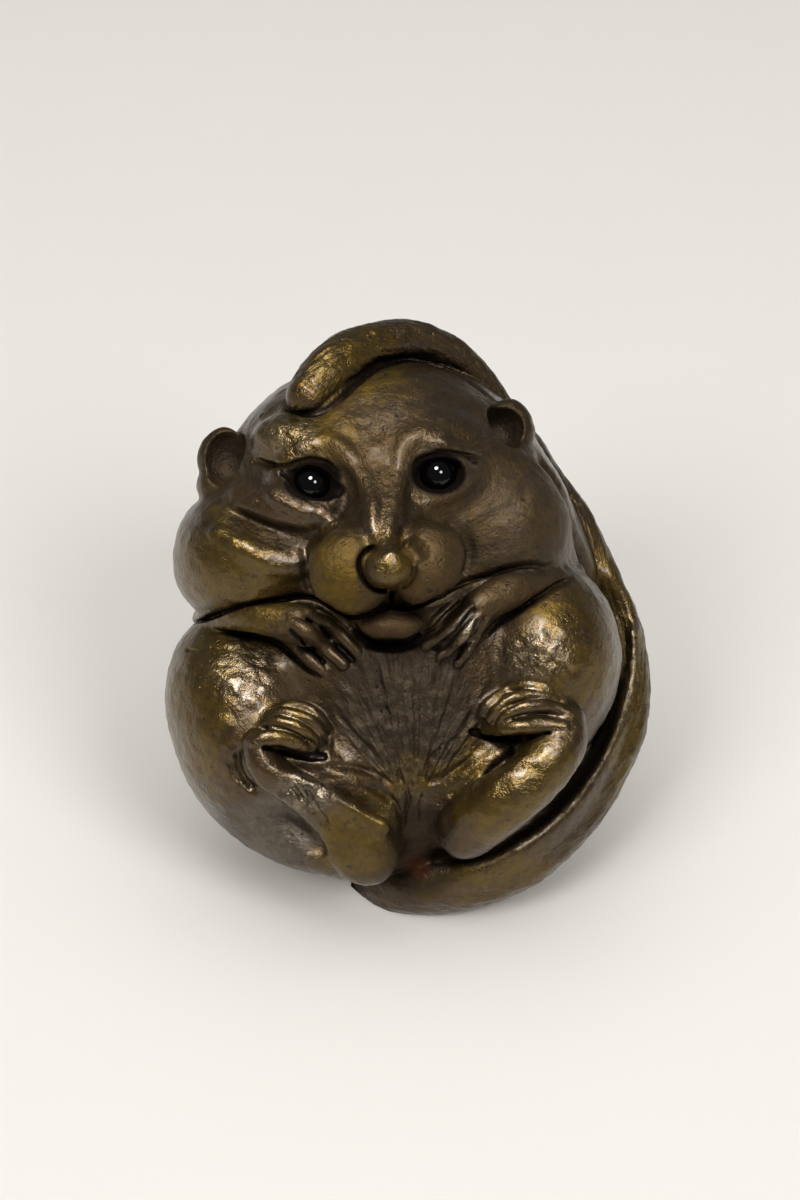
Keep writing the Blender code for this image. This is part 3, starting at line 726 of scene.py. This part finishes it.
# where the patina is olive; greyish, with a painted sheen on the lower left haunch; darker with painted
# shade, and on the belly a darker patina; and red-stained; where the metal is matt; where it is pitted; where
# it is painted paler with less painted hollow shade; and the painted shade, near black, in the hollows round
# the beads, in the
# ears and under the chin: each a soft ellipsoid's middle, radii and most
patches = {
    "olive": [((-17, -9, 3), (9, 14, 9), 1), ((-20, -6, -8), (9, 14, 14), 0.9),
              ((-10, -14, 17), (8, 10, 5), 0.6), ((-6, -18, 4), (5, 9, 6), 0.7),
              ((16, -10, -3), (8, 11, 8), 0.7), ((-4, -14, -21), (7, 9, 5), 0.9),
              ((10, -15, -16), (9, 9, 8), 0.8), ((8, -5, -25), (12, 8, 5), 0.7),
              ((-2, -22, 5), (4, 7, 4), 0.6), ((-6, -12, 24), (10, 10, 6), 0.7),
              ((-12, -16, -11), (5, 6, 4), 0.6), ((12, -15, -9), (6, 6, 5), 0.5),
              ((22, 0, -5), (6, 8, 24), 0.9), ((0.8, -15, -15), (5, 5, 3.5), 0.8)],
    # greyish patina, and a painted sheen on the lower left haunch
    "greyAndSheen": [((0, -15, -9), (10, 9, 10), 0.7), ((9, -12, 9), (9, 12, 9), 0.6),
             ((-13, -8, -20), (8, 10, 6), 1), ((0, -12, 20), (9, 10, 7), 0.5),
             ((-12, -16, 8), (5, 6, 3), 0.4)],
    # painted shade, near black, round the beads, in the ears and under the chin
    "socket": [((-8.9, -16, 12.6), (3.3, 5, 2.3), 1), ((2.9, -16.4, 13.4), (3.2, 5, 2.5), 1),
               ((-17.6, -8.4, 15.4), (2.9, 4, 3.4), 0.32), ((9.2, -9.6, 18.2), (2.8, 4, 3.0), 0.32),
               ((-1.6, -17, -2.8), (3.9, 5, 1.1), 0.6)],
    # painted paler, with less painted hollow shade: the recess behind the left sole, and the sole
    "paleRecessAndSole": [((-11.8, -10, -20.2), (6, 9, 5), 1), ((-10.2, -16, -16.8), (3.6, 4, 2.6), 0.6)],
    # painted shade round the eyes, in the ears and hollows, between the heels and under the left pouch;
    # darker belly patina
    "shadeAndDarkPatina": [((-17.7, -7.6, 15.6), (3.2, 4.4, 3.6), 1), ((9.3, -9, 18.2), (3.2, 4.6, 3.5), 1),
             ((0.8, -9, -22.5), (5.4, 12, 7), 1), ((-8.9, -15.8, 12.8), (4.2, 4.4, 3.3), 1),
             ((3, -16.2, 13.5), (4.2, 4.4, 3.4), 1), ((0, -15, -7.5), (9, 10, 8), 0.8),
             ((-15.2, -12, -10), (2.6, 5, 2.8), 0.6), ((8.6, -13, -2.6), (4, 5, 4), 0.5),
             ((-16.5, -8, 11.6), (3, 4, 2), 0.5), ((-10.4, -14, -6.4), (2.8, 4, 3), 0.6),
             ((-6.6, -16, 10.6), (1.4, 4, 2), 0.9), ((-15, -13, 8.7), (3.4, 6, 1.4), 0.9),
             ((-11.2, -14, 7.5), (3.4, 6, 1.4), 0.9)],
    "stain": [((0.9, -10, -24.6), (1.8, 8, 1.7), 0.8)],
    "matte": [((-3.2, -13, 17.6), (8, 12, 9), 0.75), ((-2.6, -19, 11), (3, 6, 4), 0.2),
              ((-5.6, -21, 4), (5, 6, 5), 1), ((2.4, -21, 4.4), (5, 6, 5), 1),
              ((8, -13, 9), (11, 11, 8), 1), ((9, -14, 2), (8, 6, 4), 0.8),
              ((-10, -14, -0.5), (7, 6, 3.5), 0.7), ((-5, -16, -21), (4.5, 6, 3), 0.5),
              ((-10.4, -14, -6.4), (3, 5, 3), 1), ((0, -15, -10), (9, 9, 9), 0.6),
              ((-12, -8, -21), (8, 10, 5), 0.6), ((-17, -10, 11.5), (5, 6, 3), 0.6),
              ((-1.4, -17, -1), (6, 5, 3.5), 1)],
    # pitted relief, where the material also paints highlight flecks and light chips
    "pitted": [((-15.5, -13, -5.2), (4.5, 7, 4.5), 1), ((-11, -15, 17), (4, 5, 3), 1),
               ((12.5, -14, -4), (5, 6, 3.4), 1), ((-9.4, -17, -16.6), (4, 5, 3), 1),
               ((10.5, -17, -15), (4, 5, 4), 0.6), ((-9.5, -14, -13.4), (2.6, 4, 2), 0.6),
               ((0, -15, -11), (8, 8, 8), 0.8), ((2.4, -15, 16.5), (3, 4, 2), 0.7),
               ((0.5, -12, -19), (3, 9, 4.5), 0.8), ((-11, -17, 5.6), (3, 4, 1.6), 0.5),
               ((-13, -15, -0.3), (4, 4, 2), 0.6)],
}


def patchAmount(points, name):
    # the most of that name's soft ellipsoids at each point
    amount = np.zeros(len(points))
    for centre, radii, most in patches[name]:
        amount = np.maximum(amount, most * within(points, centre, radii))
    return amount


def castingSkin(material):
    # net, steps onto the field, relief, flat underside, fewer triangles, and last what the patina, the
    # painted shade and
    # the painted highlights read: 1 - field / reach at some way out is how hollow a place is, and the same
    # inwards how proud
    forms, cut = figureForms()
    lean = math.radians(figure["lean"])
    points, quads = surfaceNet(forms, figure["low"], figure["high"], figure["step"], figure["halvings"])
    print("net", len(points), "points")
    points, normals = ontoField(points, forms)
    points = points + normals * reliefAt(points)[:, None]
    print("relief")
    # height over the underside is y sin(lean) less, z cos(lean) more; what would sink is laid flat
    upright = np.array([0, -math.sin(lean), math.cos(lean)])
    height = points @ upright + figure["underside"]
    points = points - np.minimum(height, 0)[:, None] * upright
    made = meshObject("dormouse_casting", points, quads.tolist(), material)
    ratio = figure["triangles"] / (2 * len(quads))
    made = applied(made, "DECIMATE", ratio=ratio, use_collapse_triangulate=True)
    points = vertices(made)
    normals = np.array([normal.vector for normal in made.data.vertex_normals], single)
    # how hollow each place is, which the material reads for painted shade with darker patina
    for name, reach in (("tight", 0.35), ("wide", 1.3), ("deep", 3.2)):
        store(made, name, 1 - fieldAt(points + normals * reach, forms) / reach)
    # painted shade: the material paints the cut gaps near black
    store(made, "gap", np.clip(1 - fieldAt(points, [dict(form, cut=False) for form in cut]) / 0.3, 0, 1))
    comb, strength, _ = furAt(points)
    made.data.attributes.new("comb", "FLOAT_VECTOR", "POINT").data.foreach_set("vector", comb.ravel())
    store(made, "hair", strength)
    # how proud each place is, which the material reads for rubbed metal with a painted highlight
    store(made, "ridge", fieldAt(points - normals * 0.5, forms) / 0.5 + 1)
    for name in patches:
        store(made, name, patchAmount(points, name))
    made.data.vertices.foreach_set("co", leaned(points).astype(single).ravel())
    made.data.update()
    print("skin", len(made.data.polygons), "triangles")
    return made


# materials

class Value:
    # a shader socket that takes + - * and, as most, the greater of two

    def __init__(self, tree, socket):
        self.tree = tree
        self.socket = socket

    def mathNode(self, operation, first, second):
        # a Math node of two values
        node = self.tree.nodes.new("ShaderNodeMath")
        node.operation = operation
        for place, value in zip(node.inputs, (first, second)):
            plug(self.tree, place, value)
        return Value(self.tree, node.outputs[0])

    def __add__(self, other):
        return self.mathNode("ADD", self, other)

    def __radd__(self, other):
        return self.mathNode("ADD", other, self)

    def __sub__(self, other):
        return self.mathNode("SUBTRACT", self, other)

    def __rsub__(self, other):
        return self.mathNode("SUBTRACT", other, self)

    def __mul__(self, other):
        return self.mathNode("MULTIPLY", self, other)

    def __rmul__(self, other):
        return self.mathNode("MULTIPLY", other, self)

    def most(self, other):
        return self.mathNode("MAXIMUM", self, other)


def plug(tree, place, value):
    # links a value or socket to a place, or sets a number or colour there
    if isinstance(value, Value):
        tree.links.new(value.socket, place)
    elif isinstance(value, bpy.types.NodeSocket):
        tree.links.new(value, place)
    elif value is not None:
        place.default_value = value


class Shader:
    def __init__(self, name):
        self.material = bpy.data.materials.new(name)
        self.material.use_nodes = True
        self.tree = self.material.node_tree
        self.surface = self.tree.nodes["Principled BSDF"]
        self.place = self.tree.nodes.new("ShaderNodeTexCoord").outputs["Object"]

    def node(self, kind, settings=(), **sockets):
        # any node: its settings first, then its sockets' values or links
        made = self.tree.nodes.new(kind)
        for name, value in dict(settings).items():
            setattr(made, name, value)
        for name, value in sockets.items():
            plug(self.tree, made.inputs[name.replace("_", " ")], value)
        return made

    def value(self, node, output=0):
        # a node's output as a Value
        return Value(self.tree, node.outputs[output])

    def attribute(self, name):
        # a number kept on the skin
        return self.value(self.node("ShaderNodeAttribute", {"attribute_name": name}), "Fac")

    def noise(self, scale, detail=2.0, rough=0.5):
        # noise at that many cells a metre
        return self.value(self.node("ShaderNodeTexNoise", Vector=self.place, Scale=scale, Detail=detail,
                                    Roughness=rough))

    def step(self, value, start, end, low=0.0, high=1.0):
        # smoothstep from low to high as value goes from start to end
        return self.value(self.node("ShaderNodeMapRange", {"interpolation_type": "SMOOTHSTEP"}, Value=value,
                                    From_Min=start, From_Max=end, To_Min=low, To_Max=high))

    def mix(self, factor, first, second):
        # first less factor of it, and factor of second
        node = self.node("ShaderNodeMix", {"data_type": "RGBA"})
        plug(self.tree, node.inputs[0], factor)
        plug(self.tree, node.inputs[6], first)
        plug(self.tree, node.inputs[7], second)
        return node.outputs[2]

    def set(self, **sockets):
        # the surface's own sockets
        for name, value in sockets.items():
            plug(self.tree, self.surface.inputs[name.replace("_", " ")], value)


bronze = {
    "olive": (0.112, 0.069, 0.012, 1),
    "brown": (0.080, 0.050, 0.021, 1),
    # greyish patina, and a painted reflection sheen
    "greyAndSheen": (0.074, 0.056, 0.038, 1),
    # a paler greyish colour behind the left sole and on it
    "paleGrey": (0.150, 0.124, 0.094, 1),
    # painted shade, and the darker mottle and specks of the patina
    "shadeAndDarkPatina": (0.030, 0.021, 0.014, 1),
    # near black: painted shade in hollows, gaps and sockets, with darker patina in the hollows
    "blackShadeAndPatina": (0.005, 0.003, 0.0025, 1),
    # rubbed metal, and painted highlights on ridges and in flecks
    "wearAndHighlight": (0.34, 0.28, 0.19, 1),
    "red": (0.055, 0.018, 0.008, 1),
    "metallic": 0.8,
    "roughness": 0.32,
    "wax": 0.42,
    "waxRoughness": 0.26,
    "bump": 0.00022,
    # cells a metre
    "cloud": 230,
    "mottle": 700,
    "speck": 1250,
    "fleck": 1700,
    "grit": 3000,
}


def bronzeMaterial():
    # olive, brown and greyish clouds with a painted sheen, then a paler greyish patch, rubbed metal and
    # painted highlights, painted shade and darker patina in hollows, specks, painted near-black shade in the
    # gaps and sockets and a red stain; matt and shaded places are rougher and have no wax
    shader = Shader("bronze_patina")
    shade = shader.attribute("shadeAndDarkPatina")
    hair = shader.attribute("hair")
    cloud = shader.noise(bronze["cloud"], 3, 0.6)
    mottle = shader.noise(bronze["mottle"], 3, 0.65)
    fleck = shader.noise(bronze["fleck"], 3, 0.65)
    comb = shader.node("ShaderNodeAttribute", {"attribute_name": "comb"}).outputs["Vector"]
    strand = shader.value(shader.node("ShaderNodeTexNoise", Vector=comb, Scale=1.6, Detail=3.0,
                                      Roughness=0.6))
    olive = shader.attribute("olive") + (cloud - 0.5) * 1.6 + (mottle - 0.5) * 0.7
    colour = shader.mix(shader.step(olive, 0.2, 0.8), bronze["brown"], bronze["olive"])
    # greyish patina, with a painted sheen on the lower left haunch
    greyAndSheen = shader.attribute("greyAndSheen") + (cloud - 0.5) * 1.2 - (mottle - 0.5) * 0.8
    colour = shader.mix(shader.step(greyAndSheen, 0.3, 0.95, 0, 0.85), colour, bronze["greyAndSheen"])
    # paler greyish colour behind the left sole and on it; below, less painted hollow shade there
    colour = shader.mix(shader.attribute("paleRecessAndSole") * 0.7, colour, bronze["paleGrey"])
    pitted = shader.attribute("pitted")
    matte = shader.attribute("matte")
    # rubbed metal on ridges, partly a painted highlight, and painted highlight flecks with light chips in
    # pitted places
    wearAndHighlight = shader.step(shader.attribute("ridge") + (fleck - 0.5) * 0.5, 0.25, 0.7, 0, 0.3) * (1 - shade)
    highlightAndChipFlecks = shader.step(pitted * (mottle + fleck - 0.55), 0.25, 0.7, 0, 0.35)
    colour = shader.mix(wearAndHighlight.most(highlightAndChipFlecks), colour, bronze["wearAndHighlight"])
    # painted shade: the shaded places go towards a deep brown
    colour = shader.mix(shade * (0.75 + 0.5 * (fleck - 0.5)), colour, bronze["shadeAndDarkPatina"])
    # painted shade with darker patina: hollow places go towards near black, less where the colour is painted
    # paler
    hollow = shader.attribute("tight") * 0.16 + shader.attribute("wide") * 0.3
    hollow = hollow + shader.attribute("deep") * 0.42 - shader.attribute("paleRecessAndSole") * 0.35
    grain = (mottle - 0.5) * 0.4 + (fleck - 0.5) * 0.35 + (strand - 0.5) * hair * 0.4
    shadeAndDarkPatina = shader.step(hollow + grain, 0.12, 1.1)
    colour = shader.mix(shadeAndDarkPatina, colour, bronze["blackShadeAndPatina"])
    speck = shader.step(shader.noise(bronze["speck"], 2, 0.7), 0.6, 0.74, 0, 0.75)
    colour = shader.mix(shader.step(mottle * 0.5 + fleck * 0.5, 0.42, 0.6, 0.35, 0), colour, bronze["shadeAndDarkPatina"])
    colour = shader.mix(speck, colour, bronze["shadeAndDarkPatina"])
    # painted shade: the cut gaps, the hollows round the beads, the ears and under the chin go near black
    socket = shader.attribute("socket")
    black = shader.attribute("gap").most(shader.step(socket, 0.15, 0.5)) * 0.95
    colour = shader.mix(black, colour, bronze["blackShadeAndPatina"])
    colour = shader.mix(shader.attribute("stain"), colour, bronze["red"])
    rough = bronze["roughness"] + (mottle - 0.5) * 0.3 + shadeAndDarkPatina * 0.3 + matte * 0.3 + shade * 0.2 + socket * 0.3
    grit = shader.noise(bronze["grit"], 3, 0.65)
    height = grit * 0.4 + fleck * 0.6 + mottle * (0.8 + pitted * 1.2)
    height = height + (strand - 0.5) * hair * 1.3 - speck * 0.5
    bump = shader.node("ShaderNodeBump", Strength=0.75, Distance=bronze["bump"], Height=height)
    wax = bronze["wax"] * (1 - matte) * (1 - shadeAndDarkPatina) * (1 - shade) * (1 - socket)
    shader.set(Base_Color=colour, Roughness=rough, Metallic=bronze["metallic"], Normal=bump.outputs[0],
               Specular_IOR_Level=0.15, Coat_Weight=wax, Coat_Roughness=bronze["waxRoughness"])
    return shader.material


glass = {"colour": (0.0012, 0.001, 0.001, 1), "roughness": 0.02, "dust": 2500}


def glassMaterial():
    # black and smooth, a little rougher where dust lies
    shader = Shader("eye_glass")
    dust = shader.step(shader.noise(glass["dust"], 2, 0.5), 0.6, 0.8, 0, 0.03)
    shader.set(Base_Color=glass["colour"], Roughness=glass["roughness"] + dust, Specular_IOR_Level=0.3)
    return shader.material


def bead(name, material):
    # centre plus radius times (cos u sin v, sin u sin v, cos v), with the poles closed
    eye = eyes[name]
    across, down = 64, 32
    u = np.arange(across) * 2 * math.pi / across
    v = np.arange(1, down) * math.pi / down
    v, u = np.meshgrid(v, u, indexing="ij")
    rings = np.stack([np.cos(u) * np.sin(v), np.sin(u) * np.sin(v), np.cos(v)], -1).reshape(-1, 3)
    points = np.vstack([rings, (0, 0, 1), (0, 0, -1)]) * eye["radius"] + np.array(eye["centre"])
    row, col = np.meshgrid(np.arange(down - 2), np.arange(across), indexing="ij")
    here, beside = row * across + col, row * across + (col + 1) % across
    quads = np.stack([here, here + across, beside + across, beside], -1).reshape(-1, 4)
    last = (down - 2) * across
    i, j = np.arange(across), (np.arange(across) + 1) % across
    top = np.stack([np.full(across, len(rings)), i, j], 1)
    foot = np.stack([np.full(across, len(rings) + 1), last + j, last + i], 1)
    faces = quads.tolist() + top.tolist() + foot.tolist()
    return meshObject(name + "_bead", leaned(points), faces, material)


casting = castingSkin(bronzeMaterial())
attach(casting, "root")
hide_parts("dormouse")
glassy = glassMaterial()
for name in eyes:
    made = bead(name, glassy)
    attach(made, "root")
    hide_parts(name)
print("beads")


# floor, light and camera

studio = {
    "floor": (0.76, 0.73, 0.685, 1),
    "floorSide": 3.0,
    "sky": (1.0, 0.98, 0.95, 1),
    "skyStrength": 0.15,
    "distance": 0.283,
    "aim": (-0.7, 0.0, 1.5),
    "lens": 85.0,
    "lights": [
        {"left": 0, "up": 60, "away": 0.9, "size": 1.4, "power": 5.8, "soft": True},
        {"left": 35, "up": 5, "away": 1.1, "size": 0.5, "power": 6.0, "soft": True},
        {"left": -35, "up": 5, "away": 1.1, "size": 0.5, "power": 6.0, "soft": True},
        {"left": 30, "up": 36, "away": 0.6, "size": 0.2, "power": 5.2, "soft": False},
        {"left": -24, "up": 14, "away": 0.42, "size": 0.11, "power": 0.8, "soft": False},
    ],
}


def floorMaterial():
    # plain pale paper
    shader = Shader("paper")
    shader.set(Base_Color=studio["floor"], Roughness=0.6 + shader.noise(60, 2, 0.5) * 0.1)
    return shader.material


def buildFloor():
    # a flat grid of points (x, y, 0), level with the underside
    count = 7
    side = np.linspace(-0.5, 0.5, count) * studio["floorSide"]
    x, y = np.meshgrid(side, side, indexing="ij")
    points = np.stack([x, y, x * 0], -1).reshape(-1, 3)
    i, j = np.meshgrid(np.arange(count - 1), np.arange(count - 1), indexing="ij")
    first = i * count + j
    quads = np.stack([first, first + count, first + count + 1, first + 1], -1).reshape(-1, 4)
    floor = meshObject("floor", points, quads.tolist(), floorMaterial())


def fromView(left, up):
    # a direction left and up from the view axis, in degrees
    rise = math.radians(figure["lean"] + up)
    aside = math.radians(-left)
    return Vector((math.sin(aside) * math.cos(rise), -math.cos(aside) * math.cos(rise), math.sin(rise)))


def addLight(plan, target):
    # a round lamp that points at the target
    light = bpy.data.lights.new("softbox", "AREA")
    light.shape = "DISK"
    light.size = plan["size"]
    light.energy = plan["power"]
    made = bpy.data.objects.new("softbox", light)
    scene.collection.objects.link(made)
    made.location = target + fromView(plan["left"], plan["up"]) * plan["away"]
    made.rotation_euler = (target - made.location).to_track_quat("-Z", "Y").to_euler()
    # the soft ones light the matt surfaces and the small ones are what the shiny ones reflect
    made.visible_glossy = not plan["soft"]
    made.visible_diffuse = plan["soft"]


def addCamera():
    # looks along the view axis at the aim, and gives the aim back
    aim = Vector(leaned(np.array([studio["aim"]]))[0])
    back = fromView(0, 0)
    camera = bpy.data.cameras.new("camera")
    camera.lens = studio["lens"]
    camera.clip_start = 0.01
    camera.clip_end = 20
    made = bpy.data.objects.new("camera", camera)
    scene.collection.objects.link(made)
    made.location = aim + back * studio["distance"]
    made.rotation_euler = (-back).to_track_quat("-Z", "Y").to_euler()
    scene.camera = made
    return aim


buildFloor()
target = addCamera()
for plan in studio["lights"]:
    addLight(plan, target)
world = bpy.data.worlds.new("studio")
world.use_nodes = True
world.node_tree.nodes["Background"].inputs[0].default_value = studio["sky"]
world.node_tree.nodes["Background"].inputs[1].default_value = studio["skyStrength"]
scene.world = world
scene.view_settings.view_transform = "Standard"
print("studio")
